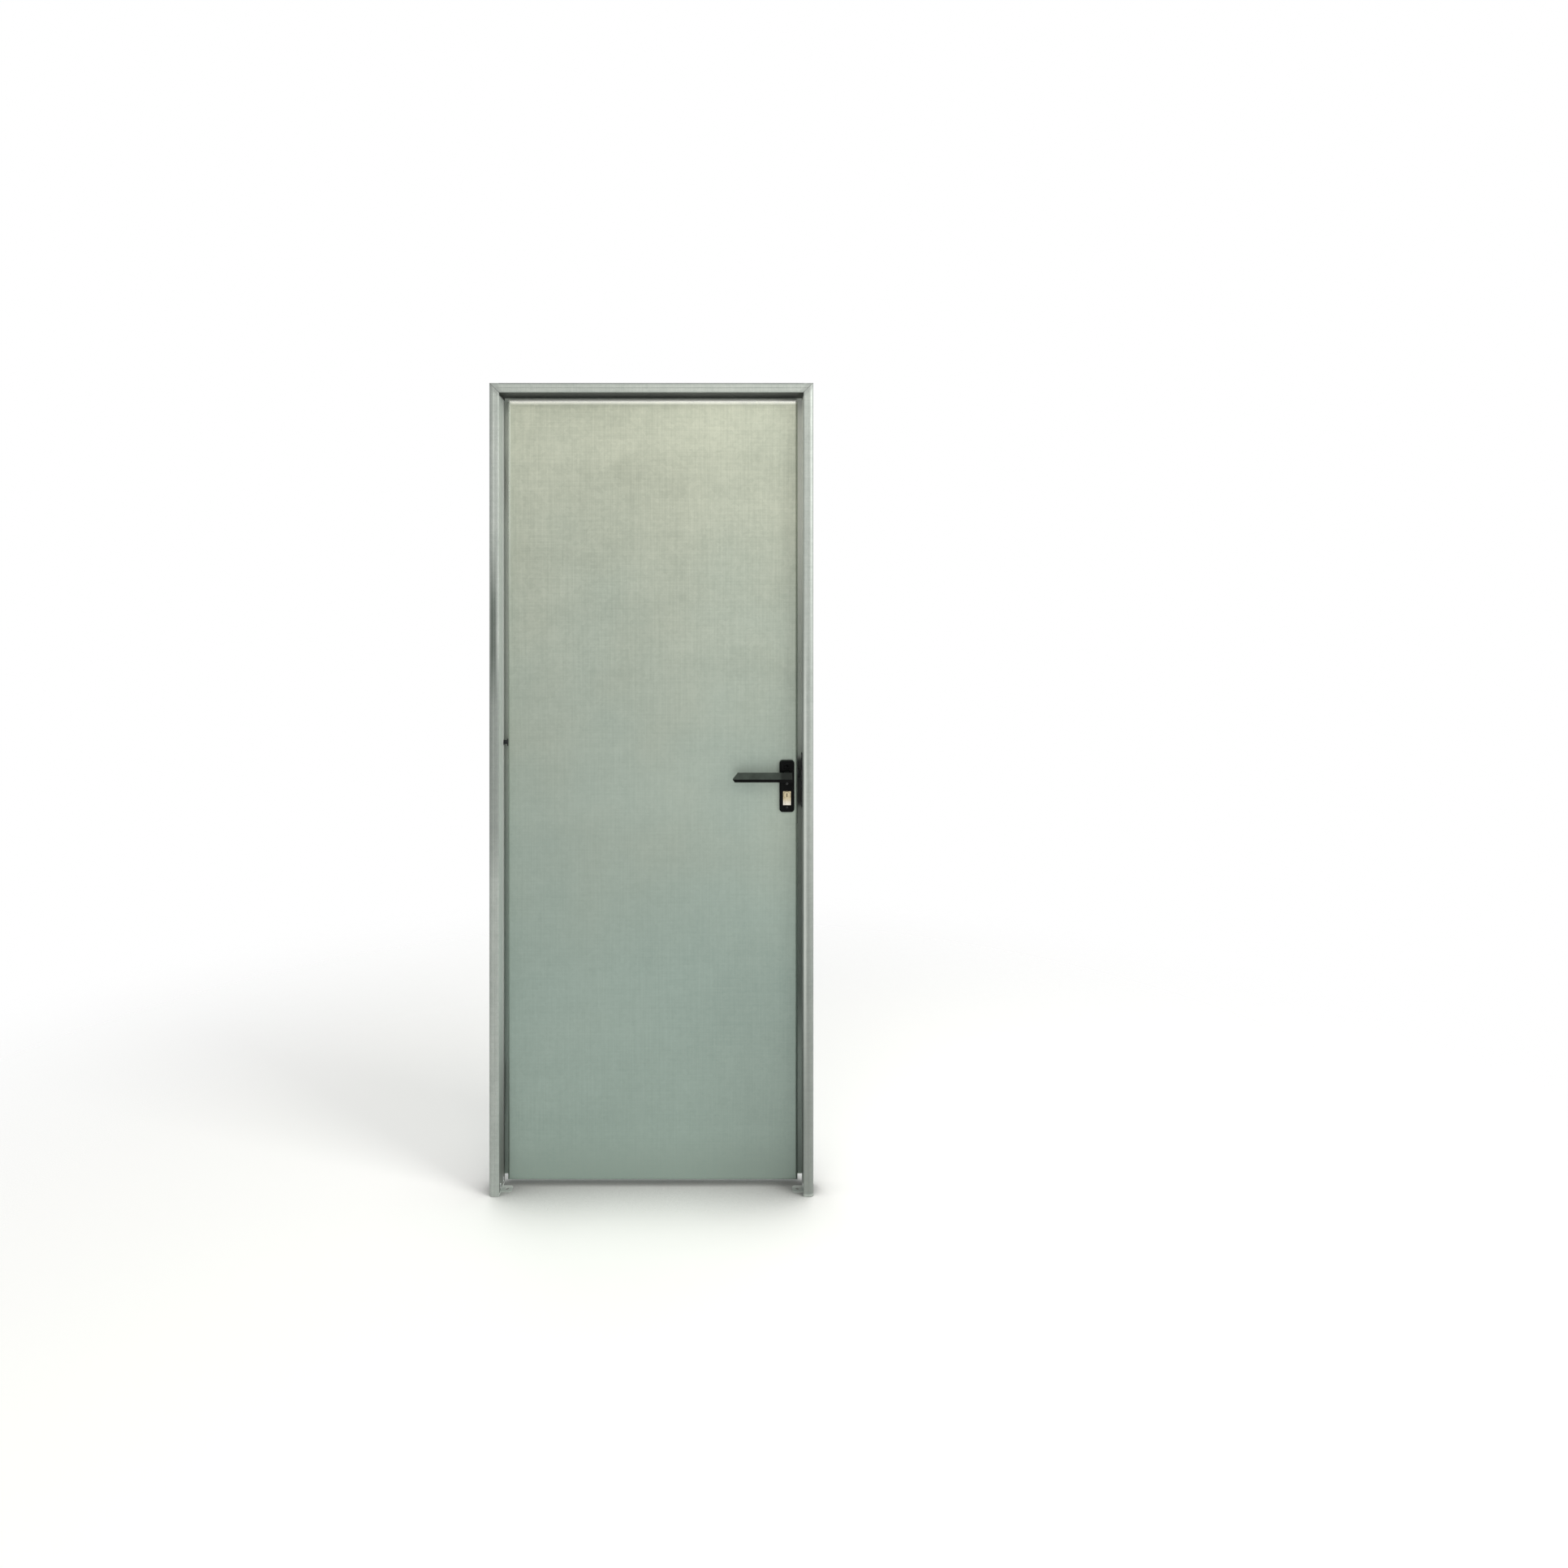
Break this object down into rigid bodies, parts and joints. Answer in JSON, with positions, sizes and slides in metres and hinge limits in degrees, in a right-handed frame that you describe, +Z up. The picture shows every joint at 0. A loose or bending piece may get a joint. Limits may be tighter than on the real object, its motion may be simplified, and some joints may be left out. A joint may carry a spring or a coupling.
{
  "type": "steel utility door",
  "caption": "Galvanised steel utility door in a folded three-sided frame, with black lever handles and a cylinder lock",
  "frame": {"origin": "at floor level under the fixing hole of the hinge jamb's foot tab, halfway through the depth of the frame", "axes": "+X along the wall from the hinge jamb to the lock jamb, +Y through the doorway to the side the leaf opens to, +Z up"},
  "size_m": [0.8, 0.1556, 2.005],
  "materials": {
    "galvanised_sheet": "matt galvanised sheet with a faint spangle",
    "galvanised_frame": "matt galvanised sheet, folded",
    "zinc_plated_steel": "bright zinc plate",
    "dark_steel": "blackened steel, satin",
    "black_nylon": "moulded black nylon, satin",
    "brass": "satin brass"
  },
  "bodies": {
    "frame": {"hinge_jamb": "galvanised_frame", "lock_jamb": "galvanised_frame", "lock_foot_tab": "galvanised_frame", "hinge_foot_tab": "galvanised_frame", "frame_head": "galvanised_frame", "hinge_jamb_anchors": "zinc_plated_steel", "lock_jamb_anchors": "zinc_plated_steel", "strike_plate": "dark_steel", "lower_hinge_frame_flag": "zinc_plated_steel", "lower_hinge_pin": "zinc_plated_steel", "lower_hinge_washer": "brass", "upper_hinge_frame_flag": "zinc_plated_steel", "upper_hinge_pin": "zinc_plated_steel", "upper_hinge_washer": "brass"},
    "leaf": {"front_skin": "galvanised_sheet", "back_skin": "galvanised_sheet", "lower_hinge_leaf_flag": "zinc_plated_steel", "upper_hinge_leaf_flag": "zinc_plated_steel", "dog_bolt": "dark_steel", "lock_forend": "dark_steel", "lock_case": "zinc_plated_steel", "push_plate": "black_nylon", "pull_plate": "black_nylon", "lock_cylinder": "brass", "pull_plug": "brass"},
    "lever": {"push_lever": "black_nylon", "pull_lever": "black_nylon", "spindle": "zinc_plated_steel"},
    "latch": {"latch_bolt": "dark_steel"},
    "key_plug": {"push_plug": "brass"},
    "bolt": {"dead_bolt": "dark_steel"}
  },
  "joints": [
    {"name": "leaf_swing", "type": "hinge", "parent": "frame", "child": "leaf", "pos_m": [-0.029, 0.041, 0], "axis": [0, 0, 1], "range_deg": [0, 120]},
    {"name": "lever_turn", "type": "hinge", "parent": "leaf", "child": "lever", "pos_m": [0.698, 0, 1.033], "axis": [0, -1, 0], "range_deg": [0, 40], "stiffness_Nm_per_rad": 1, "springref_deg": -28.65},
    {"name": "latch_slide", "type": "slide", "parent": "leaf", "child": "latch", "axis": [-1, 0, 0], "range_m": [0, 0.0065]},
    {"name": "key_turn", "type": "hinge", "parent": "leaf", "child": "key_plug", "pos_m": [0.698, 0, 0.983], "axis": [0, 1, 0], "range_deg": [0, 360]},
    {"name": "bolt_throw", "type": "slide", "parent": "leaf", "child": "bolt", "axis": [1, 0, 0], "range_m": [0, 0.02]}
  ],
  "couplings": [
    {"joint": "latch_slide", "follows": "lever_turn", "m_per_rad": 0.0093106},
    {"joint": "key_turn", "follows": "bolt_throw", "rad_per_m": 314.16}
  ]
}
